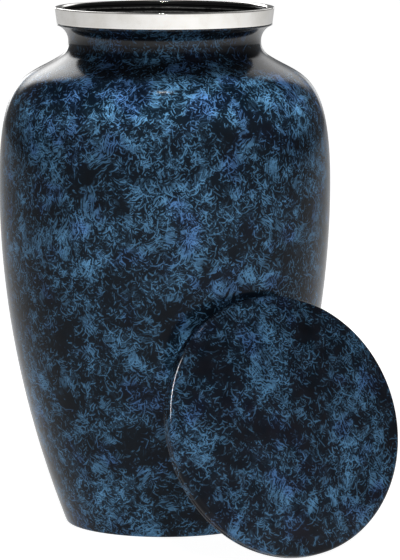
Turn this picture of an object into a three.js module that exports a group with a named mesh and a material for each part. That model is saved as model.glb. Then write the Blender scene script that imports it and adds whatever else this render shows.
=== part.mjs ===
// A funeral urn: a spun metal vessel, the bright threaded ring on its neck, and its domed screw
// lid, which stands on edge beside the vessel and leans on its belly.
// Millimetres, +Z up. The origin is the centre of the underside of the foot.

import * as THREE from 'three';

const { degToRad } = THREE.MathUtils;

// Vessel
const FOOT_RADIUS = 45.8;
const FOOT_CHAMFER = 1.2;
const BELLY_RADIUS = 76.2;
const BELLY_HEIGHT = 157;
const SHOULDER_RISE = 53;
const SHOULDER_RUN = 18;
const SHOULDER_SLOPE = degToRad(56.4);
const NECK_RADIUS = 44.2;
const NECK_HEIGHT = 222.8;
const NECK_CURVE = 8;
const WALL = 2;
const FLOOR = 3;

// Mouth ring
const RIM_HEIGHT = 238.5;
const RING_HEIGHT = 7.5;
const RING_RADIUS = 50.3;
const RING_FOOT_RADIUS = 49.4;
const RING_EDGE = 0.6;
const BORE_RADIUS = 46.9;
const BORE_CHAMFER = 0.8;
const BRAZE_GAP = 0.1;

// Lid
const LID_RADIUS = 59;
const LID_SIDE = 3.3;
const LID_ROUND = 2.7;
const DOME_SLOPE = degToRad(16);
const LID_SHELL = 3;
const SPIGOT_RADIUS = 46.2;
const SPIGOT_WALL = 3;
const SPIGOT_LENGTH = 6;
const SPIGOT_CHAMFER = 0.8;

// Place of the lid: how far it leans back, the way it faces and where it stands, the last two
// measured from the front (-Y) towards +X
const LID_LEAN = degToRad(18.3);
const LID_FACING = degToRad(30.5);
const LID_BEARING = degToRad(34.1);
const TOUCH_GAP = 0.4;

// Faces around each turned piece, and along the taper, shoulder and neck of each wall face
const ROUND_STEPS = 56;
const OUTER_STEPS = { taper: 9, shoulder: 10, neck: 8 };
const INNER_STEPS = { taper: 7, shoulder: 8, neck: 6 };

const RING_FOOT_HEIGHT = RIM_HEIGHT - RING_HEIGHT;
const SEAT_HEIGHT = RING_FOOT_HEIGHT - BRAZE_GAP;

const point = (radius, height) => new THREE.Vector2(radius, height);

/** Radius of the vessel below its belly: a parabola from the foot up to the widest height. */
function taperRadius(height) {
  const below = (BELLY_HEIGHT - height) / BELLY_HEIGHT;
  return BELLY_RADIUS - (BELLY_RADIUS - FOOT_RADIUS) * below ** 2;
}

/** The tapered wall as a curve, from a given height up to the belly. */
class TaperCurve extends THREE.Curve {
  constructor(lowest) {
    super();
    this.lowest = lowest;
  }

  getPoint(t) {
    const height = THREE.MathUtils.lerp(this.lowest, BELLY_HEIGHT, t);
    return point(taperRadius(height), height);
  }
}

/** Points along a wall curve that runs upwards, moved towards the inside of the vessel. */
function insetPoints(curve, steps, inset) {
  return Array.from({ length: steps + 1 }, (_, i) => {
    const along = curve.getTangent(i / steps);
    const inwards = point(-along.y, along.x);
    return curve.getPoint(i / steps).addScaledVector(inwards, inset);
  });
}

/** One face of the vessel's wall, foot to mouth: taper, shoulder, and a neck that flares by an angle. */
function wallLine(inset, lowest, flare, steps) {
  const belly = point(BELLY_RADIUS, BELLY_HEIGHT);
  const neckCentre = point(NECK_RADIUS + NECK_CURVE, NECK_HEIGHT);
  const neckFoot = point(-Math.cos(SHOULDER_SLOPE), -Math.sin(SHOULDER_SLOPE))
    .multiplyScalar(NECK_CURVE)
    .add(neckCentre);
  const downSlope = point(Math.sin(SHOULDER_SLOPE), -Math.cos(SHOULDER_SLOPE));
  const taper = new TaperCurve(lowest);
  const shoulder = new THREE.CubicBezierCurve(
    belly,
    belly.clone().add(point(0, SHOULDER_RISE)),
    neckFoot.clone().addScaledVector(downSlope, SHOULDER_RUN),
    neckFoot,
  );
  const neck = new THREE.EllipseCurve(
    neckCentre.x,
    neckCentre.y,
    NECK_CURVE,
    NECK_CURVE,
    Math.PI + SHOULDER_SLOPE,
    Math.PI - flare,
    true,
  );
  return [
    ...insetPoints(taper, steps.taper, inset),
    ...insetPoints(shoulder, steps.shoulder, inset).slice(1),
    ...insetPoints(neck, steps.neck, inset).slice(1),
  ];
}

/** Section of the vessel: underside, outer face, flat seat of the ring, inner face and floor. */
function vesselProfile() {
  const outerFlare = Math.acos((NECK_RADIUS + NECK_CURVE - RING_FOOT_RADIUS) / NECK_CURVE);
  const innerFlare = Math.asin((SEAT_HEIGHT - NECK_HEIGHT) / (NECK_CURVE + WALL));
  const outer = wallLine(0, FOOT_CHAMFER, outerFlare, OUTER_STEPS);
  const inner = wallLine(WALL, FLOOR, innerFlare, INNER_STEPS);
  inner[0].y = FLOOR;
  return [
    point(0, 0),
    point(FOOT_RADIUS - FOOT_CHAMFER, 0),
    ...outer,
    point(RING_FOOT_RADIUS, SEAT_HEIGHT),
    ...inner.reverse(),
    point(0, FLOOR),
  ];
}

/** Section of the mouth ring: a band that widens upwards, with a broken edge on each side of its lip. */
function ringProfile() {
  return [
    point(BORE_RADIUS, RING_FOOT_HEIGHT),
    point(RING_FOOT_RADIUS, RING_FOOT_HEIGHT),
    point(RING_RADIUS, RIM_HEIGHT - RING_EDGE),
    point(RING_RADIUS - RING_EDGE, RIM_HEIGHT),
    point(BORE_RADIUS + BORE_CHAMFER, RIM_HEIGHT),
    point(BORE_RADIUS, RIM_HEIGHT - BORE_CHAMFER),
    point(BORE_RADIUS, RING_FOOT_HEIGHT),
  ];
}

/** Section of the lid, its flange lying at height 0: hollow underside, spigot, side, rounding, dome. */
function lidProfile() {
  const roundCentre = LID_RADIUS - LID_ROUND;
  const domeRadius = (roundCentre + LID_ROUND * Math.sin(DOME_SLOPE)) / Math.sin(DOME_SLOPE);
  const domeCentre = LID_SIDE + (LID_ROUND - domeRadius) * Math.cos(DOME_SLOPE);
  const shellRadius = domeRadius - LID_SHELL;
  const spigotBore = SPIGOT_RADIUS - SPIGOT_WALL;
  const top = Math.PI / 2;
  const arc = (x, y, radius, from, to) => new THREE.EllipseCurve(x, y, radius, radius, from, to, from > to);
  const hollow = arc(0, domeCentre, shellRadius, top, Math.acos(spigotBore / shellRadius)).getPoints(5);
  const round = arc(roundCentre, LID_SIDE, LID_ROUND, 0, top - DOME_SLOPE).getPoints(4);
  const dome = arc(0, domeCentre, domeRadius, top - DOME_SLOPE, top).getPoints(8);
  return [
    point(0, domeCentre + shellRadius),
    ...hollow.slice(1),
    point(spigotBore, -SPIGOT_LENGTH),
    point(SPIGOT_RADIUS - SPIGOT_CHAMFER, -SPIGOT_LENGTH),
    point(SPIGOT_RADIUS, SPIGOT_CHAMFER - SPIGOT_LENGTH),
    point(SPIGOT_RADIUS, 0),
    point(LID_RADIUS, 0),
    ...round,
    ...dome.slice(1, -1),
    point(0, domeCentre + domeRadius),
  ];
}

/** A section turned about the Z axis, as a named piece with its own finish. */
function turned(name, profile, finish) {
  const geometry = new THREE.LatheGeometry(profile, ROUND_STEPS).rotateX(Math.PI / 2);
  const mesh = new THREE.Mesh(geometry, new THREE.MeshStandardMaterial(finish));
  mesh.name = name;
  return mesh;
}

/** Stands the lid on the ground on its flange's edge, with that edge's top against the belly. */
function leanOnBelly(lid) {
  const reach = LID_RADIUS * Math.sin(LID_LEAN);
  const halfHeight = LID_RADIUS * Math.cos(LID_LEAN);
  const skew = LID_BEARING - LID_FACING;
  const contactRadius = taperRadius(2 * halfHeight) + TOUCH_GAP;
  const distance = reach * Math.cos(skew) + Math.sqrt(contactRadius ** 2 - (reach * Math.sin(skew)) ** 2);
  lid.position.set(distance * Math.sin(LID_BEARING), -distance * Math.cos(LID_BEARING), halfHeight);
  lid.rotation.set(Math.PI / 2 - LID_LEAN, 0, LID_FACING, 'ZXY');
  return lid;
}

const urn = new THREE.Group();
urn.add(
  turned('urn_body', vesselProfile(), { color: 0x2b3d50, roughness: 0.25, metalness: 0.1 }),
  turned('mouth_ring', ringProfile(), { color: 0xdcdad6, roughness: 0.18, metalness: 1 }),
  leanOnBelly(turned('lid', lidProfile(), { color: 0x27333f, roughness: 0.25, metalness: 0.1 })),
);

export default urn;
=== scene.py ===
from math import comb, radians

import bpy
import numpy as np
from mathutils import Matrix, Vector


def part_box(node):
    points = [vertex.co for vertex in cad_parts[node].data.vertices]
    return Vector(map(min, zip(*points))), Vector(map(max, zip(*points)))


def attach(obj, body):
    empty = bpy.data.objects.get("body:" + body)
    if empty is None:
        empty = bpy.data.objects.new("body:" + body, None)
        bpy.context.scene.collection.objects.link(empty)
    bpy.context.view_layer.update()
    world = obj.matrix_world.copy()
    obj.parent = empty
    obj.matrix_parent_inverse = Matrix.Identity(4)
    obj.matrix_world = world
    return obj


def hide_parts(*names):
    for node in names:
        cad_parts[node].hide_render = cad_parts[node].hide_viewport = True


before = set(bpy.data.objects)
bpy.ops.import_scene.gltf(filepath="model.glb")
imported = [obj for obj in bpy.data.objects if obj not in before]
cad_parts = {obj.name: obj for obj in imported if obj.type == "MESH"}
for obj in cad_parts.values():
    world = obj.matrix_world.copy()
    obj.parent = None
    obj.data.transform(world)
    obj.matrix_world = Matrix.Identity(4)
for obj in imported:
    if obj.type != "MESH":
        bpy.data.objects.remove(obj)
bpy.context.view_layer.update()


# Vessel: one spun aluminium shell 2 mm thick, with a flat foot, a long taper, a round shoulder and
# a waisted neck that flares to the seat of the mouth ring. Its outside is black lacquer dabbed all
# over with blue strokes under a clear coat, and its inside is left dark and dull.

VESSEL_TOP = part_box("urn_body")[1]
BELLY_RADIUS = VESSEL_TOP.x
SEAT_HEIGHT = VESSEL_TOP.z
BELLY_HEIGHT = 0.157
FOOT_RADIUS = 0.0458
FOOT_EDGE = 0.0012
SHOULDER_RISE = 0.053
SHOULDER_RUN = 0.018
SHOULDER_SLOPE = radians(56.4)
NECK_RADIUS = 0.0442
NECK_HEIGHT = 0.2228
NECK_CURVE = 0.008
RING_FOOT_RADIUS = 0.0494
WALL = 0.002
FLOOR_THICKNESS = 0.003
FLOOR_CORNER = 0.004
FLOOR_CORNER_PULL = 0.3 * FLOOR_CORNER
ROUND = 256

# Numbers of the materials on the vessel and the lid
LACQUERED = 0
DULL = 1

# Share of its length that a stretch of a profile gets on the map, less where it hardly shows
SHOWN = 1.0
UNDERNEATH = 0.3
INSIDE = 0.25


def bezier(corners, count):
    """Points on a Bezier curve: each corner weighted by its term of ((1 - t) + t) to the power of
    the number of corners less one, for count even steps of t from 0 to 1."""
    t = np.linspace(0.0, 1.0, count)[:, None]
    last = len(corners) - 1
    weights = [comb(last, k) * (1 - t) ** (last - k) * t**k for k in range(last + 1)]
    return sum(weight * np.asarray(corner, float) for weight, corner in zip(weights, corners))


def straight(start, end, count):
    """Points in even steps from start to end."""
    return np.linspace(start, end, count)


def arc(centre, radius, start, end, count):
    """Points on a circle about centre: radius times (cos, sin) of even angles from start to end."""
    angle = np.linspace(start, end, count)
    return np.asarray(centre) + radius * np.column_stack((np.cos(angle), np.sin(angle)))


def inset(line, depth):
    """A line that runs upwards, moved inwards: each point goes depth along its left-hand normal."""
    along = np.gradient(line, axis=0)
    along /= np.linalg.norm(along, axis=1, keepdims=True)
    return line + depth * np.column_stack((-along[:, 1], along[:, 0]))


def taper_radius(height):
    """Radius below the belly: a parabola that is widest at the belly and FOOT_RADIUS at the ground."""
    below = (BELLY_HEIGHT - height) / BELLY_HEIGHT
    return BELLY_RADIUS - (BELLY_RADIUS - FOOT_RADIUS) * below**2


def taper(lowest, count):
    """The tapered wall from a height up to the belly."""
    height = np.linspace(lowest, BELLY_HEIGHT, count)
    return np.column_stack((taper_radius(height), height))


def shoulder_and_neck(neck_end, counts):
    """The wall above the belly: a Bezier curve over the shoulder, then the arc of the waisted neck."""
    out_and_down = np.array((np.sin(SHOULDER_SLOPE), -np.cos(SHOULDER_SLOPE)))
    neck_centre = np.array((NECK_RADIUS + NECK_CURVE, NECK_HEIGHT))
    neck = arc(neck_centre, NECK_CURVE, np.pi + SHOULDER_SLOPE, neck_end, counts[1])
    belly = np.array((BELLY_RADIUS, BELLY_HEIGHT))
    crest = belly + (0, SHOULDER_RISE)
    shoulder = bezier((belly, crest, neck[0] + SHOULDER_RUN * out_and_down, neck[0]), counts[0])
    return np.vstack((shoulder, neck[1:]))


def turned(name, runs, materials, relief=None, turn=np.eye(3), origin=np.zeros(3)):
    """A profile carried around an axis: x = r cos a, y = r sin a, z = h for each angle a and each
    profile point (r, h), with relief(a, r, h) added to r, then turned and moved into place.
    runs are stretches of the profile, each (points, number of its material, share of the map)."""
    line = np.vstack([runs[0][0]] + [points[1:] for points, _, _ in runs[1:]])
    finish = np.concatenate([np.full(len(points) - 1, number) for points, number, _ in runs])
    share = np.concatenate([np.full(len(points) - 1, size) for points, _, size in runs])
    angle = np.linspace(0.0, 2 * np.pi, ROUND, endpoint=False)[None, :]
    radius, height = np.repeat(line[:, :1], ROUND, axis=1), line[:, 1:]
    raised = np.zeros_like(radius) if relief is None else relief(angle, radius, height)
    out = radius + raised
    grid = np.stack((out * np.cos(angle), out * np.sin(angle), height + 0 * out), axis=-1)

    # A row on the axis is one vertex, and a section that ends where it starts shares that row.
    index = np.arange(out.size).reshape(out.shape)
    index[radius.max(axis=1) == 0] = index[radius.max(axis=1) == 0][:, :1]
    if np.allclose(line[0], line[-1]):
        index[-1] = index[0]
    used, index = np.unique(index, return_inverse=True)
    index = index.reshape(out.shape)

    # Each quad's corners, and the same corners on the map: u is the angle, v the length along.
    after = np.roll(index, -1, axis=1)
    corners = np.stack((index[:-1], after[:-1], after[1:], index[1:]), axis=-1).reshape(-1, 4)
    length = share * np.linalg.norm(np.diff(line, axis=0), axis=1)
    v = np.concatenate(((0.0,), np.cumsum(length))) / length.sum()
    u = np.arange(ROUND + 1) / ROUND
    u, v = np.broadcast_arrays(u[None, :], v[:, None])
    flat = np.stack((u, v), axis=-1)
    flat = np.stack((flat[:-1, :-1], flat[:-1, 1:], flat[1:, 1:], flat[1:, :-1]), axis=2)
    flat = flat.reshape(-1, 4, 2)
    finish = np.repeat(finish, ROUND)

    # At a pole two corners of the quad are one, so that quad is a triangle.
    start_pole = corners[:, 0] == corners[:, 1]
    end_pole = corners[:, 2] == corners[:, 3]
    whole = ~(start_pole | end_pole)
    keep = ((whole, [0, 1, 2, 3]), (start_pole, [0, 2, 3]), (end_pole, [0, 1, 2]))
    faces = [face for rows, kept in keep for face in corners[rows][:, kept].tolist()]
    flat = np.concatenate([flat[rows][:, kept].reshape(-1, 2) for rows, kept in keep])
    finish = np.concatenate([finish[rows] for rows, _ in keep])

    mesh = bpy.data.meshes.new(name)
    points = grid.reshape(-1, 3)[used] @ np.asarray(turn).T + origin
    mesh.from_pydata(points.tolist(), [], faces)
    mesh.polygons.foreach_set("material_index", finish.astype(np.int32))
    mesh.uv_layers.new(name="OFBake").data.foreach_set("uv", flat.astype(np.float32).ravel())
    crest = mesh.attributes.new("crest", "FLOAT", "POINT")
    crest.data.foreach_set("value", np.abs(raised).ravel()[used].astype(np.float32))
    mesh.shade_smooth()
    for material in materials:
        mesh.materials.append(material)
    piece = bpy.data.objects.new(name, mesh)
    bpy.context.scene.collection.objects.link(piece)
    return piece


def node(tree, kind, inputs=None, **options):
    """A shader node with its options set, and each input linked to a socket or set to a value."""
    made = tree.nodes.new("ShaderNode" + kind)
    for option, value in options.items():
        setattr(made, option, value)
    for socket, value in (inputs or {}).items():
        if isinstance(value, bpy.types.NodeSocket):
            tree.links.new(value, made.inputs[socket])
        else:
            made.inputs[socket].default_value = value
    return made


def maths(tree, operation, *values):
    """The result of one operation on numbers or number sockets."""
    return node(tree, "Math", dict(enumerate(values)), operation=operation).outputs[0]


def vectors(tree, operation, *values):
    """The result of one operation on vectors or vector sockets."""
    return node(tree, "VectorMath", dict(enumerate(values)), operation=operation).outputs["Vector"]


def dot(tree, first, second):
    """The dot product of two vectors."""
    inputs = {0: first, 1: second}
    return node(tree, "VectorMath", inputs, operation="DOT_PRODUCT").outputs["Value"]


def scaled(tree, vector, factor):
    """A vector times a number."""
    inputs = {"Vector": vector, "Scale": factor}
    return node(tree, "VectorMath", inputs, operation="SCALE").outputs["Vector"]


def ease(tree, value, low, high, to_low=0.0, to_high=1.0):
    """A value eased from to_low at low to to_high at high, and held beyond them."""
    inputs = {"Value": value, "From Min": low, "From Max": high, "To Min": to_low, "To Max": to_high}
    return node(tree, "MapRange", inputs, interpolation_type="SMOOTHSTEP").outputs["Result"]


def noise(tree, place, size, detail=0.0, output="Fac"):
    """Soft 3-D noise about 0.5, with lumps of the given size in the units of place."""
    inputs = {"Vector": place, "Scale": 1 / size, "Detail": detail}
    return node(tree, "TexNoise", inputs).outputs[output]


def between(tree, share, first, second):
    """A colour mixed from two: the first where share is 0, the second where it is 1. Sockets 6 and 7
    of the node are its colours, and its output 2 is the mixed one."""
    inputs = {"Factor": share, 6: (*first, 1.0), 7: (*second, 1.0)}
    return node(tree, "Mix", inputs, data_type="RGBA").outputs[2]


def bumps(tree, height, strength, depth):
    """A normal that follows a height, where a height of 1 stands for a depth in metres."""
    inputs = {"Height": height, "Strength": strength, "Distance": depth}
    return node(tree, "Bump", inputs).outputs["Normal"]


def finish_shader(name, **constants):
    """A new material: its node tree and its shader, with constant inputs set by name."""
    material = bpy.data.materials.new(name)
    material.use_nodes = True
    shader = material.node_tree.nodes["Principled BSDF"]
    for socket, value in constants.items():
        shader.inputs[socket.replace("_", " ")].default_value = value
    return material, material.node_tree, shader


def millimetres(tree):
    """The piece's own coordinates, in millimetres."""
    return scaled(tree, node(tree, "TexCoord").outputs["Object"], 1000.0)


# The middle of a random colour, taken off it to leave a direction
MIDDLE = (0.5, 0.5, 0.5)


def cell_marks(tree, place, facing, cell, density):
    """Random cells for one layer of marks: how far each point is from its cell's middle along and
    across the cell's own direction on the surface, the distance from the middle in cell sizes, three
    chances, and how strongly the cell is marked. A cell whose chance exceeds the density is empty."""
    shuffle = (7.0, 13.0, 5.0)
    least_load, most_load = 0.25, 1.4
    cells = node(tree, "TexVoronoi", {"Vector": place, "Scale": 1 / cell})
    lean = vectors(tree, "SUBTRACT", cells.outputs["Color"], MIDDLE)
    flat_lean = vectors(tree, "SUBTRACT", lean, vectors(tree, "PROJECT", lean, facing))
    along = vectors(tree, "NORMALIZE", flat_lean)
    across = vectors(tree, "CROSS_PRODUCT", facing, along)
    offset = vectors(tree, "SUBTRACT", place, cells.outputs["Position"])
    chances = node(tree, "SeparateXYZ", {0: cells.outputs["Color"]}).outputs
    mixed = maths(tree, "FRACT", dot(tree, cells.outputs["Color"], shuffle))
    there = ease(tree, maths(tree, "SUBTRACT", density, mixed), -0.03, 0.03)
    load = maths(tree, "MULTIPLY", there, ease(tree, chances["Y"], 0.1, 0.9, least_load, most_load))
    return dot(tree, offset, along), dot(tree, offset, across), cells.outputs["Distance"], chances, load


def dab_layer(tree, place, facing, cell, width, density):
    """Dabs of a brush: streaks of noise drawn out eight times as long as they are wide, with darker
    gaps between them, that fade towards the edge of the cell and run together in its middle."""
    stretch = 8
    apart = 50.0
    gap_depth = -0.3
    along, across, distance, chances, load = cell_marks(tree, place, facing, cell, density)
    drawn = node(
        tree,
        "CombineXYZ",
        {
            "X": maths(tree, "DIVIDE", along, stretch * width),
            "Y": maths(tree, "DIVIDE", across, width),
            "Z": maths(tree, "MULTIPLY", chances["X"], apart),
        },
    ).outputs[0]
    streaks = ease(tree, noise(tree, drawn, 1.0), 0.43, 0.54, gap_depth, 1.0)
    blotted = ease(tree, chances["Z"], 0.5, 0.7)
    blot = maths(tree, "MULTIPLY", ease(tree, distance, 0.36, 0.12), blotted)
    reach = maths(tree, "MULTIPLY", ease(tree, distance, 0.7, 0.45), load)
    return maths(tree, "MULTIPLY", maths(tree, "MAXIMUM", streaks, blot), reach)


def hair_layer(tree, place, facing, cell, length, width, density):
    """One curved hair in each cell: where 1 - (a / half its length)^2 - (b / half its width)^2 is
    above 0, with a along the hair and b across it, less a bend of a squared."""
    a, b, distance, chances, load = cell_marks(tree, place, facing, cell, density)
    a = maths(tree, "DIVIDE", a, length / 2)
    a_squared = maths(tree, "MULTIPLY", a, a)
    most_bend = 0.2 * length
    bend = ease(tree, chances["X"], 0.0, 1.0, -most_bend, most_bend)
    b = maths(tree, "SUBTRACT", b, maths(tree, "MULTIPLY", a_squared, bend))
    b = maths(tree, "DIVIDE", b, width / 2)
    inside = maths(tree, "SUBTRACT", 1.0, a_squared)
    inside = maths(tree, "SUBTRACT", inside, maths(tree, "MULTIPLY", b, b))
    hair = maths(tree, "MULTIPLY", ease(tree, inside, 0.0, 0.3), ease(tree, distance, 0.85, 0.6))
    return maths(tree, "MULTIPLY", hair, load)


# Layers of dabs: size of the cells, width of a streak, strength, and shift of the pattern. Sizes and
# shifts are in millimetres here and in the layers of hairs.
DAB_LAYERS = (
    (4.2, 0.5, 0.9, 0.0),
    (6.4, 0.55, 1.0, 100.0),
    (9.5, 0.6, 1.0, 200.0),
)

# Layers of hairs: size of the cells, length and width of a hair, and shift of the pattern
HAIR_LAYERS = (
    (1.2, 1.6, 0.50, 800.0),
    (1.8, 2.6, 0.54, 300.0),
    (2.4, 3.4, 0.58, 400.0),
    (3.2, 4.6, 0.62, 500.0),
    (4.2, 6.2, 0.62, 600.0),
    (5.6, 8.5, 0.66, 700.0),
)

# The clouds and patches where the paint is thick, and how far its strokes wander, in millimetres
CLOUD_SIZE = 30.0
CLOUD_SHIFT = (17.0, 5.0, 40.0)
CLOUD_WEIGHT = 0.75
PATCH_SIZE = 8.0
PATCH_SHIFT = (3.0, 71.0, 9.0)
PATCH_WEIGHT = 0.65
WANDER_SIZE = 3.5
WANDER_REACH = 2.2

# How fast the paint covers the ground, how it crowds together and brightens in the clouds, and how
# bright it is where there is none
COVERING = 1.3
CROWDING = 1.5
CLOUD_LIGHT = 2.2
BARE_LIGHT = 0.038
SKY_BLUE = (0.22, 0.57, 1.0)
DEEP_BLUE = (0.18, 0.45, 1.0)
TINT_SIZE = 16.0
TINT_SHIFT = (60.0, 8.0, 2.0)
GROUND_SIZE = 6.0

# Heights in millimetres between which the shoulder, the neck and the neck's hollow begin, and how
# the paint and the clear coat change there: painted light brightens the paint over the shoulder,
# and painted shade darkens it on the neck
SHOULDER_STARTS = (180.0, 198.0)
# Painted light: how much brighter the shoulder's paint is made
SHOULDER_PAINTED_LIGHT = 0.85
SHOULDER_TINT = 0.1
NECK_STARTS = (208.0, 213.0)
# Painted shade: how much the neck's paint is darkened in the hollow under the ring
NECK_PAINTED_SHADE = -1.6
NECK_THINNING = 0.1
HOLLOW_STARTS = (218.0, 223.0)
COAT_IOR = 1.18
HOLLOW_COAT_IOR = 1.38


def fleck_lacquer(name, dab_share, hair_share, contrast, ground):
    """Brown-black lacquer dabbed with blue. Broad and middling clouds set how thick the paint lies,
    the layers of dabs and hairs add up to the paint p, which covers 1 - e^(-COVERING p), and
    brightness is e to the power of contrast times cover, plus clouds, plus painted light over the
    shoulder and painted shade on the neck. The shares are of cells with a dab or a hair, and ground
    is the brown between them."""
    material, tree, shader = finish_shader(
        name,
        Specular_IOR_Level=0.0,
        Coat_Weight=1.0,
        Coat_Roughness=0.14,
        Coat_Tint=(0.45, 0.45, 0.45, 1.0),
    )
    place = millimetres(tree)
    facing = node(tree, "NewGeometry").outputs["Normal"]
    wander = noise(tree, place, WANDER_SIZE, detail=1.0, output="Color")
    wander = vectors(tree, "SUBTRACT", wander, MIDDLE)
    bent = vectors(tree, "ADD", place, scaled(tree, wander, WANDER_REACH))

    clouds = noise(tree, vectors(tree, "ADD", place, CLOUD_SHIFT), CLOUD_SIZE, detail=2.0)
    patches = noise(tree, vectors(tree, "ADD", bent, PATCH_SHIFT), PATCH_SIZE, detail=1.0)
    thick = maths(
        tree,
        "ADD",
        maths(tree, "MULTIPLY", maths(tree, "SUBTRACT", clouds, 0.5), CLOUD_WEIGHT),
        maths(tree, "MULTIPLY", maths(tree, "SUBTRACT", patches, 0.5), PATCH_WEIGHT),
    )

    # Painted light: the paint is made brighter over the shoulder, where the lamps light it less. Up on
    # the neck the paint is thin, with fewer strokes, and darkened as painted shade under the ring.
    height = node(tree, "SeparateXYZ", {0: place}).outputs["Z"]
    shoulder = ease(tree, height, *SHOULDER_STARTS, 0.0, SHOULDER_PAINTED_LIGHT)
    neck = ease(tree, height, *NECK_STARTS, 0.0, NECK_PAINTED_SHADE)
    more = maths(tree, "MULTIPLY", thick, CROWDING)
    # The neck's mask of painted shade also thins its strokes, which are really fewer there.
    fewer = maths(tree, "MULTIPLY", neck, NECK_THINNING)
    dab_density = maths(tree, "ADD", dab_share, maths(tree, "ADD", more, fewer))
    hair_density = maths(tree, "ADD", hair_share, more)

    paint = 0.0
    for cell, width, strength, shift in DAB_LAYERS:
        shifted = vectors(tree, "ADD", bent, (shift, 2 * shift, -shift))
        layer = dab_layer(tree, shifted, facing, cell, width, dab_density)
        paint = maths(tree, "ADD", paint, maths(tree, "MULTIPLY", layer, strength))
    for cell, length, width, shift in HAIR_LAYERS:
        shifted = vectors(tree, "ADD", bent, (shift, 2 * shift, -shift))
        layer = hair_layer(tree, shifted, facing, cell, length, width, hair_density)
        paint = maths(tree, "ADD", paint, layer)
    left_bare = maths(tree, "EXPONENT", maths(tree, "MULTIPLY", paint, -COVERING))
    cover = maths(tree, "SUBTRACT", 1.0, left_bare)
    light = maths(tree, "MULTIPLY", cover, contrast)
    light = maths(tree, "ADD", light, maths(tree, "MULTIPLY", thick, CLOUD_LIGHT))
    # Painted light over the shoulder and painted shade on the neck
    light = maths(tree, "ADD", light, maths(tree, "ADD", shoulder, neck))
    amount = maths(tree, "MULTIPLY", maths(tree, "EXPONENT", light), BARE_LIGHT)
    tint = noise(tree, vectors(tree, "ADD", place, TINT_SHIFT), TINT_SIZE, detail=2.0)
    tint = maths(tree, "ADD", tint, maths(tree, "MULTIPLY", shoulder, SHOULDER_TINT))
    blue = between(tree, ease(tree, tint, 0.5, 0.72), SKY_BLUE, DEEP_BLUE)
    brown = scaled(tree, ground, noise(tree, place, GROUND_SIZE, detail=2.0))
    colour = vectors(tree, "ADD", scaled(tree, blue, amount), brown)
    tree.links.new(colour, shader.inputs["Base Color"])

    # The clear coat is glossier in the hollow of the neck, where it has run thicker.
    coat = ease(tree, height, *HOLLOW_STARTS, COAT_IOR, HOLLOW_COAT_IOR)
    tree.links.new(coat, shader.inputs["Coat IOR"])
    buffing = noise(tree, place, 22.0, detail=3.0)
    tree.links.new(ease(tree, buffing, 0.3, 0.7, 0.11, 0.2), shader.inputs["Roughness"])
    peel = bumps(tree, noise(tree, place, 2.2, detail=1.0), 0.12, 0.0003)
    tree.links.new(peel, shader.inputs["Normal"])
    return material


def dull_dark():
    """Inside of the shell: a thin, uneven dark wash over the spun metal, dusty in places."""
    material, tree, shader = finish_shader("dull_dark")
    place = millimetres(tree)
    wash = ease(tree, noise(tree, place, 14.0, detail=5.0), 0.3, 0.75)
    colour = between(tree, wash, (0.010, 0.010, 0.011), (0.034, 0.033, 0.032))
    tree.links.new(colour, shader.inputs["Base Color"])
    tree.links.new(ease(tree, wash, 0.0, 1.0, 0.5, 0.75), shader.inputs["Roughness"])
    grain = bumps(tree, noise(tree, place, 0.8, detail=2.0), 0.2, 0.0002)
    tree.links.new(grain, shader.inputs["Normal"])
    return material


VESSEL_LACQUER = fleck_lacquer(
    "fleck_lacquer",
    dab_share=0.30,
    hair_share=0.38,
    contrast=3.0,
    ground=(0.008, 0.0048, 0.004),
)
DULL_DARK = dull_dark()

outer_flare = np.pi - np.arccos((NECK_RADIUS + NECK_CURVE - RING_FOOT_RADIUS) / NECK_CURVE)
inner_flare = np.pi - np.arcsin((SEAT_HEIGHT - NECK_HEIGHT) / (NECK_CURVE + WALL))
outer_taper = taper(FOOT_EDGE, 64)
outer_top = shoulder_and_neck(outer_flare, (44, 30))
inner_taper = inset(taper(FLOOR_THICKNESS + FLOOR_CORNER, 40), WALL)
inner_top = inset(shoulder_and_neck(inner_flare, (30, 20)), WALL)
foot_start = (FOOT_RADIUS - FOOT_EDGE, 0.0)
floor_corner = (inner_taper[0, 0] - FLOOR_CORNER_PULL, FLOOR_THICKNESS)
floor_end = (floor_corner[0] - FLOOR_CORNER, FLOOR_THICKNESS)
seat_edge = (RING_FOOT_RADIUS, SEAT_HEIGHT)

vessel = turned(
    "urn_vessel",
    [
        (straight((0.0, 0.0), foot_start, 16), LACQUERED, UNDERNEATH),
        (bezier((foot_start, (FOOT_RADIUS, 0.0), outer_taper[0]), 7), LACQUERED, SHOWN),
        (outer_taper, LACQUERED, SHOWN),
        (outer_top, LACQUERED, SHOWN),
        (straight(outer_top[-1], seat_edge, 3), LACQUERED, SHOWN),
        (straight(seat_edge, inner_top[-1], 4), DULL, UNDERNEATH),
        (inner_top[::-1], DULL, INSIDE),
        (inner_taper[::-1], DULL, INSIDE),
        (bezier((inner_taper[0], floor_corner, floor_end), 8), DULL, INSIDE),
        (straight(floor_end, (0.0, FLOOR_THICKNESS), 10), DULL, INSIDE),
    ],
    [VESSEL_LACQUER, DULL_DARK],
)
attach(vessel, "root")
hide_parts("urn_body")


# Mouth ring: a turned aluminium band brazed onto the neck's seat and polished bright outside. Its
# bore is cut with the screw thread that takes the lid, blackened, with the crests worn bare.

RING_LOW, RING_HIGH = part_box("mouth_ring")
RING_RADIUS = RING_HIGH.x
RING_EDGE = 0.0006
LIP_CHAMFER = 0.0007
THREAD_PITCH = 0.0019
THREAD_DEPTH = 0.0007
FLANK_STEEPNESS = 5
BORE_ROOT_RADIUS = 0.0470
BAND_EDGE = 0.0003
BAND_EDGE_OUT = 0.00004
SAME_RADIUS = 1e-6

# Numbers of the ring's materials
BRIGHT = 0
BLACKENED = 1


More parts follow.
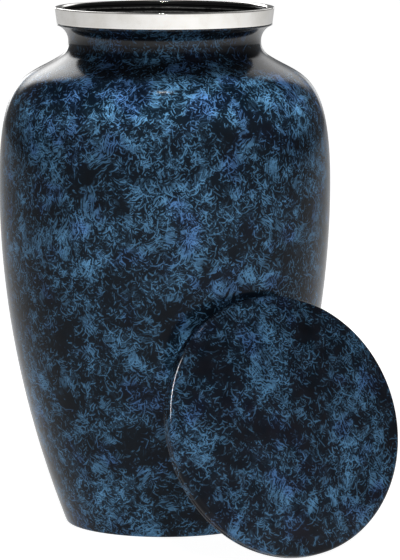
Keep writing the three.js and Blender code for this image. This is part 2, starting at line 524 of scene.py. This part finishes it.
def thread(angle, height, low, high):
    """How far a right-handed thread stands out: a wave of height less one pitch a turn, with flat
    crests and sloping flanks, that runs out to nothing over one pitch at each end."""
    turn = (height / THREAD_PITCH - angle / (2 * np.pi)) % 1
    tooth = np.clip(0.5 + FLANK_STEEPNESS * (0.25 - np.abs(turn - 0.5)), 0, 1)
    run_in = np.clip((height - low) / THREAD_PITCH, 0, 1)
    run_out = np.clip((high - height) / THREAD_PITCH, 0, 1)
    return THREAD_DEPTH * tooth * run_in * run_out


def bright_metal():
    """Polished aluminium: fine turning lines around it, with faint smears that dull it in patches."""
    material, tree, shader = finish_shader("bright_metal", Metallic=1.0)
    place = millimetres(tree)
    smear = noise(tree, place, 9.0, detail=4.0)
    colour = between(tree, ease(tree, smear, 0.35, 0.7), (0.90, 0.885, 0.86), (0.82, 0.80, 0.76))
    tree.links.new(colour, shader.inputs["Base Color"])
    tree.links.new(ease(tree, smear, 0.3, 0.75, 0.05, 0.12), shader.inputs["Roughness"])
    lathe_lines = noise(tree, vectors(tree, "MULTIPLY", place, (0.04, 0.04, 9.0)), 1.0, detail=3.0)
    tree.links.new(bumps(tree, lathe_lines, 0.25, 0.00004), shader.inputs["Normal"])
    return material


def black_thread():
    """Blackened screw thread, with bare metal where its crests are worn."""
    material, tree, shader = finish_shader("black_thread", Metallic=0.7)
    place = millimetres(tree)
    crest = node(tree, "Attribute", attribute_name="crest").outputs["Fac"]
    scuffs = maths(tree, "MULTIPLY", noise(tree, place, 3.0, detail=4.0), 2.0)
    worn = maths(tree, "MULTIPLY", ease(tree, crest, 0.6 * THREAD_DEPTH, THREAD_DEPTH), scuffs)
    worn = ease(tree, worn, 0.5, 1.4)
    colour = between(tree, worn, (0.016, 0.016, 0.017), (0.34, 0.34, 0.33))
    tree.links.new(colour, shader.inputs["Base Color"])
    tree.links.new(ease(tree, worn, 0.0, 1.0, 0.42, 0.24), shader.inputs["Roughness"])
    return material


BRIGHT_METAL = bright_metal()
BLACK_THREAD = black_thread()


def ring_relief(angle, radius, height):
    """The bore's thread, which stands inwards from its root."""
    cut = radius <= BORE_ROOT_RADIUS + SAME_RADIUS
    return np.where(cut, -thread(angle, height, RING_LOW.z, RING_HIGH.z - LIP_CHAMFER), 0.0)


bore_foot = (BORE_ROOT_RADIUS, RING_LOW.z)
bore_top = (BORE_ROOT_RADIUS, RING_HIGH.z - LIP_CHAMFER)
lip_inside = (BORE_ROOT_RADIUS + LIP_CHAMFER, RING_HIGH.z)
lip_outside = (RING_RADIUS - RING_EDGE, RING_HIGH.z)
band_inner = (RING_FOOT_RADIUS - BAND_EDGE, RING_LOW.z)
band_foot = (RING_FOOT_RADIUS, RING_LOW.z)
band_start = (RING_FOOT_RADIUS + BAND_EDGE_OUT, RING_LOW.z + BAND_EDGE)
band_end = (RING_RADIUS, RING_HIGH.z - RING_EDGE)

mouth_ring = turned(
    "urn_mouth_ring",
    [
        (straight(bore_foot, band_inner, 4), BRIGHT, UNDERNEATH),
        (bezier((band_inner, band_foot, band_start), 6), BRIGHT, SHOWN),
        (straight(band_start, band_end, 16), BRIGHT, SHOWN),
        (bezier((band_end, (RING_RADIUS, RING_HIGH.z), lip_outside), 9), BRIGHT, SHOWN),
        (straight(lip_outside, lip_inside, 7), BRIGHT, SHOWN),
        (straight(lip_inside, bore_top, 5), BRIGHT, SHOWN),
        (straight(bore_top, bore_foot, 72), BLACKENED, SHOWN),
    ],
    [BRIGHT_METAL, BLACK_THREAD],
    ring_relief,
)
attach(mouth_ring, "root")
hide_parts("mouth_ring")


# Lid: a low dome with a rounded edge, turned hollow underneath, with a threaded spigot that screws
# into the mouth ring. Its lacquer has fewer strokes than the vessel's, on a warmer ground. It stands
# on the edge of its flange and leans on the belly.

LID_RADIUS = 0.059
LID_SIDE = 0.0033
LID_ROUND = 0.0027
LID_EDGE = 0.0005
SIDE_LINE_HEIGHT = 0.0019
SIDE_LINE_WIDTH = 0.0005
SIDE_LINE_DEPTH = 0.00022
DOME_SLOPE = radians(16)
LID_SHELL = 0.003
SPIGOT_BORE = 0.0432
SPIGOT_ROOT = 0.0460
SPIGOT_LENGTH = 0.006
SPIGOT_CHAMFER = 0.0007
LID_LEAN = radians(18.3)
LID_FACING = radians(30.5)
LID_BEARING = radians(34.1)
TOUCH_GAP = 0.0004

# Number of the spigot's material, and shares of the map for the spigot and the flange
SCREW_CUT = 2
SPIGOT_SHARE = 0.5
FLANGE_SHARE = 0.4


def leaning_place():
    """The lid's turn and origin. It faces LID_FACING to the right of the front, leans back by
    LID_LEAN with the flange's edge on the ground, and stands on a bearing from the vessel's axis,
    at the distance where the top of that edge meets the taper."""
    tilt = np.pi / 2 - LID_LEAN
    tip_back = np.array(
        ((1, 0, 0), (0, np.cos(tilt), -np.sin(tilt)), (0, np.sin(tilt), np.cos(tilt)))
    )
    face = np.array(
        (
            (np.cos(LID_FACING), -np.sin(LID_FACING), 0),
            (np.sin(LID_FACING), np.cos(LID_FACING), 0),
            (0, 0, 1),
        )
    )
    reach = LID_RADIUS * np.sin(LID_LEAN)
    half_height = LID_RADIUS * np.cos(LID_LEAN)
    skew = LID_BEARING - LID_FACING
    touch = taper_radius(2 * half_height) + TOUCH_GAP
    distance = reach * np.cos(skew) + np.sqrt(touch**2 - (reach * np.sin(skew)) ** 2)
    origin = (distance * np.sin(LID_BEARING), -distance * np.cos(LID_BEARING), half_height)
    return face @ tip_back, np.array(origin)


def lid_relief(angle, radius, height):
    """The spigot's thread, and a fine line turned into the flange's side."""
    on_spigot = (np.abs(radius - SPIGOT_ROOT) < SAME_RADIUS) & (height < 0)
    screw = thread(angle, height, SPIGOT_CHAMFER - SPIGOT_LENGTH, 0.0)
    on_side = np.abs(radius - LID_RADIUS) < SAME_RADIUS
    from_line = (height - SIDE_LINE_HEIGHT) / (SIDE_LINE_WIDTH / 2)
    line = SIDE_LINE_DEPTH * np.exp(-(from_line**2))
    return np.where(on_spigot, screw, np.where(on_side, -line, 0.0))


LID_LACQUER = fleck_lacquer(
    "lid_lacquer",
    dab_share=0.15,
    hair_share=0.34,
    contrast=2.75,
    ground=(0.022, 0.0125, 0.0105),
)

round_centre = (LID_RADIUS - LID_ROUND, LID_SIDE)
dome_radius = round_centre[0] / np.sin(DOME_SLOPE) + LID_ROUND
dome_centre = (0.0, LID_SIDE + (LID_ROUND - dome_radius) * np.cos(DOME_SLOPE))
shell_radius = dome_radius - LID_SHELL
hollow = arc(dome_centre, shell_radius, np.pi / 2, np.arccos(SPIGOT_BORE / shell_radius), 30)
hollow[0, 0] = 0.0
edge_round = arc(round_centre, LID_ROUND, 0.0, np.pi / 2 - DOME_SLOPE, 14)
dome = arc(dome_centre, dome_radius, np.pi / 2 - DOME_SLOPE, np.pi / 2, 48)
dome[-1, 0] = 0.0
spigot_inner = (SPIGOT_BORE, -SPIGOT_LENGTH)
spigot_outer = (SPIGOT_ROOT - SPIGOT_CHAMFER, -SPIGOT_LENGTH)
thread_start = (SPIGOT_ROOT, SPIGOT_CHAMFER - SPIGOT_LENGTH)
thread_end = (SPIGOT_ROOT, 0.0)
flange_end = (LID_RADIUS - LID_EDGE, 0.0)
side_start = (LID_RADIUS, LID_EDGE)

lid_turn, lid_origin = leaning_place()
lid = turned(
    "urn_lid",
    [
        (hollow, DULL, INSIDE),
        (straight(hollow[-1], spigot_inner, 10), DULL, INSIDE),
        (straight(spigot_inner, spigot_outer, 4), SCREW_CUT, SPIGOT_SHARE),
        (straight(spigot_outer, thread_start, 4), SCREW_CUT, SPIGOT_SHARE),
        (straight(thread_start, thread_end, 54), SCREW_CUT, SPIGOT_SHARE),
        (straight(thread_end, flange_end, 10), LACQUERED, FLANGE_SHARE),
        (bezier((flange_end, (LID_RADIUS, 0.0), side_start), 6), LACQUERED, SHOWN),
        (straight(side_start, edge_round[0], 26), LACQUERED, SHOWN),
        (edge_round, LACQUERED, SHOWN),
        (dome, LACQUERED, SHOWN),
    ],
    [LID_LACQUER, DULL_DARK, BLACK_THREAD],
    lid_relief,
    lid_turn,
    lid_origin,
)
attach(lid, "root")
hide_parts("lid")


# Floor: a plain pale table top, which lights the urn from below and is brightest to the right of its
# front. Seen directly it is near white all over.

FLOOR_HALF = 6.0
FLOOR_DROP = 0.0001
POOL_CENTRE = (0.35, -0.25, 0.0)
POOL_SPREAD = 1.1
POOL_GLOW = 0.44
EVEN_GLOW = 0.43
SEEN_GLOW = 0.96


def pale_floor():
    """Pale, with a glow that the lacquer reflects: an even one, and a pool that falls off as e to
    minus the square of the distance over POOL_SPREAD. The camera sees an even white instead."""
    material, tree, shader = finish_shader("pale_floor", Roughness=0.9)
    shader.inputs["Base Color"].default_value = (0.5, 0.5, 0.5, 1.0)
    shader.inputs["Emission Color"].default_value = (1.0, 1.0, 1.0, 1.0)
    place = node(tree, "TexCoord").outputs["Object"]
    off = scaled(tree, vectors(tree, "SUBTRACT", place, POOL_CENTRE), 1 / POOL_SPREAD)
    pool = maths(tree, "EXPONENT", maths(tree, "MULTIPLY", dot(tree, off, off), -1.0))
    glow = maths(tree, "ADD", maths(tree, "MULTIPLY", pool, POOL_GLOW), EVEN_GLOW)
    seen = node(tree, "LightPath").outputs["Is Camera Ray"]
    strength = node(tree, "Mix", {"Factor": seen, 2: glow, 3: SEEN_GLOW}).outputs[0]
    tree.links.new(strength, shader.inputs["Emission Strength"])
    return material


floor_mesh = bpy.data.meshes.new("floor")
floor_corners = FLOOR_HALF * np.array(((-1, -1), (1, -1), (1, 1), (-1, 1)))
floor_points = np.column_stack((floor_corners, np.full(4, -FLOOR_DROP)))
floor_mesh.from_pydata(floor_points.tolist(), [], [(0, 1, 2, 3)])
floor_mesh.materials.append(pale_floor())
floor = bpy.data.objects.new("floor", floor_mesh)
bpy.context.scene.collection.objects.link(floor)


# Light: a dim room, a tall and a low softbox behind on each side that shine off the shoulders and
# the outline, a strip lamp overhead for the streak on the shoulder, a soft lamp in front that lights
# the paint, and a narrow lamp on the left for the lid's edge alone.

AIM_HEIGHT = 0.2
FRONT_GLOW = 0.5
BACK_GLOW = 0.14
OVERHEAD_GLOW = 0.02


def room_light():
    """The world: bright where the direction is low and towards the front, and dark overhead."""
    world = bpy.data.worlds.new("room")
    world.use_nodes = True
    tree = world.node_tree
    way = node(tree, "SeparateXYZ", {0: node(tree, "TexCoord").outputs["Generated"]}).outputs
    low = ease(tree, way["Z"], 0.65, 0.3)
    front = ease(tree, way["Y"], 0.3, -0.6, BACK_GLOW, FRONT_GLOW)
    glow = maths(tree, "ADD", maths(tree, "MULTIPLY", low, front), OVERHEAD_GLOW)
    tree.links.new(glow, tree.nodes["Background"].inputs["Strength"])
    tree.nodes["Background"].inputs["Color"].default_value = (1.0, 1.0, 1.0, 1.0)
    bpy.context.scene.world = world


def lamp(name, bearing, elevation, distance, width, height, radiance, edge, reflected=True):
    """A flat rectangular lamp that faces the urn. Bearing is from the back (+Y) towards the right,
    in degrees. Its power is pi times its area times its radiance, and it fades towards its four
    sides over a share, edge, of its width and height. It is either only reflected or only lights."""
    light = bpy.data.lights.new(name, "AREA")
    light.shape = "RECTANGLE"
    light.size = width
    light.size_y = height
    light.energy = np.pi * width * height * radiance
    light.use_nodes = True
    tree = light.node_tree
    spot = node(tree, "NewGeometry").outputs["Parametric"]
    on_lamp = node(tree, "SeparateXYZ", {0: spot}).outputs
    from_middle = [maths(tree, "SUBTRACT", on_lamp[side], 0.5) for side in "XY"]
    fades = [ease(tree, maths(tree, "ABSOLUTE", off), 0.5, 0.5 - edge) for off in from_middle]
    tree.links.new(maths(tree, "MULTIPLY", *fades), tree.nodes["Emission"].inputs["Strength"])
    piece = bpy.data.objects.new(name, light)
    bearing, elevation = radians(bearing), radians(elevation)
    level = distance * np.cos(elevation)
    rise = distance * np.sin(elevation)
    piece.location = (level * np.sin(bearing), level * np.cos(bearing), AIM_HEIGHT + rise)
    piece.rotation_euler = (np.pi / 2 - elevation, 0.0, np.pi - bearing)
    piece.visible_camera = False
    piece.visible_glossy = reflected
    piece.visible_diffuse = not reflected
    bpy.context.scene.collection.objects.link(piece)
    return piece


room_light()

# Bearing, elevation, distance, width, height, radiance and soft edge of each lamp
lamp("softbox_back_left", -18, 28, 2.5, 1.35, 1.9, 4.5, 0.3)
lamp("softbox_low_left", -14, 3, 2.5, 0.6, 0.55, 3.5, 0.3)
lamp("softbox_back_right", 18, 28, 2.5, 1.35, 1.9, 1.5, 0.3)
lamp("softbox_low_right", 14, 3, 2.5, 0.6, 0.55, 1.3, 0.3)
lamp("strip_front", 182, 79, 2.0, 0.2, 0.06, 150.0, 0.1)
lamp("key_front", 165, 45, 2.0, 1.2, 0.8, 10.0, 0.2, reflected=False)
lid_strip = lamp("strip_left_lid", 218, 38, 1.5, 0.18, 1.2, 260.0, 0.2)
lit_by_lid_strip = bpy.data.collections.new("lit_by_lid_strip")
lit_by_lid_strip.objects.link(lid)
lid_strip.light_linking.receiver_collection = lit_by_lid_strip


# Camera: nearly 2 m in front of the urn and a little above its rim, on a long lens, looking slightly
# down. Its place and lens are fitted to the ellipses of the foot and the rim.

CAMERA_PLACE = (0.0162, -1.8693, 0.35235)
LOOKING_DOWN = radians(7.3223)
LENS_MM = 262.2
SENSOR_MM = 36.0

camera_data = bpy.data.cameras.new("camera")
camera_data.lens = LENS_MM
camera_data.sensor_width = SENSOR_MM
camera = bpy.data.objects.new("camera", camera_data)
camera.location = CAMERA_PLACE
camera.rotation_euler = (np.pi / 2 - LOOKING_DOWN, 0.0, 0.0)
bpy.context.scene.collection.objects.link(camera)
bpy.context.scene.camera = camera
bpy.context.scene.view_settings.view_transform = "Standard"
